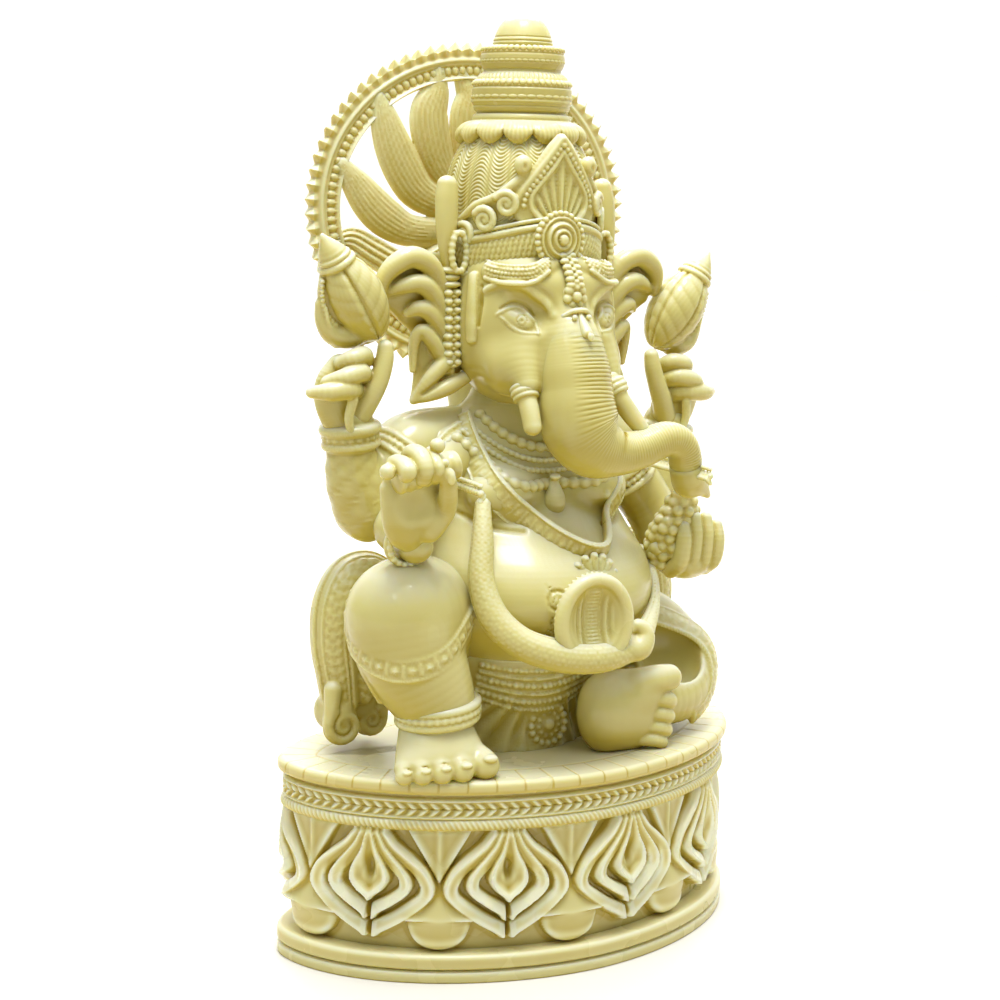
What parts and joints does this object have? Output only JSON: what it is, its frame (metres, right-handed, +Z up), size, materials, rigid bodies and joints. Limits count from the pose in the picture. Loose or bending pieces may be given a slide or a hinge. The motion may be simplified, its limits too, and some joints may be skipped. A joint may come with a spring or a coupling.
{
  "type": "seated elephant-headed idol on a lotus plinth",
  "caption": "Seated elephant-headed deity with raised arms, tall crown and open halo, on an oval plinth with carved lotus petals; rests flat on a shelf.",
  "frame": {"origin": "centre of the plinth's underside, on the table", "axes": "+Z up, the idol faces -Y, its right hand is on the -X side"},
  "size_m": [0.168, 0.0954, 0.3],
  "materials": {
    "body_resin": "polished cream resin",
    "ornament_resin": "cream resin with darker recesses",
    "plinth_resin": "polished cream resin",
    "halo_resin": "thin cream resin, slightly translucent"
  },
  "bodies": {
    "root": {"plinth_foot": "plinth_resin", "plinth_drum": "plinth_resin", "lotus_petals": "plinth_resin", "lotus_tips": "plinth_resin", "rope_moulding": "plinth_resin", "braid_band": "plinth_resin", "deck_slab": "plinth_resin", "seat_block": "body_resin", "front_drape": "ornament_resin", "waist_belt": "ornament_resin", "belt_medallion": "ornament_resin", "right_volute": "ornament_resin", "left_volute": "ornament_resin", "torso": "body_resin", "serpent_belt": "ornament_resin", "serpent_hood": "ornament_resin", "hood_fan": "ornament_resin", "chest_bib": "ornament_resin", "necklace_beads": "ornament_resin", "pendant": "ornament_resin", "right_leg": "body_resin", "right_foot": "body_resin", "right_anklet": "ornament_resin", "left_leg": "body_resin", "left_foot": "body_resin", "head": "body_resin", "trunk": "body_resin", "right_tusk": "body_resin", "left_tusk": "body_resin", "forehead_jewel": "ornament_resin", "right_ear": "body_resin", "left_ear": "body_resin", "right_tassel": "ornament_resin", "left_tassel": "ornament_resin", "crown_band": "ornament_resin", "crown_dome": "ornament_resin", "crown_plaque": "ornament_resin", "crown_medallion": "ornament_resin", "crown_collar": "ornament_resin", "crown_tiers": "ornament_resin", "crown_cap": "ornament_resin", "halo_ring": "halo_resin", "halo_teeth": "halo_resin", "halo_fan": "halo_resin", "halo_stem": "halo_resin", "rear_right_arm": "body_resin", "rear_right_hand": "body_resin", "right_conch": "ornament_resin", "rear_left_arm": "body_resin", "rear_left_hand": "body_resin", "left_conch": "ornament_resin", "front_right_arm": "body_resin", "front_right_hand": "body_resin", "tusk_piece": "body_resin", "front_left_arm": "body_resin", "front_left_hand": "body_resin", "sweet_heap": "ornament_resin"}
  },
  "joints": []
}
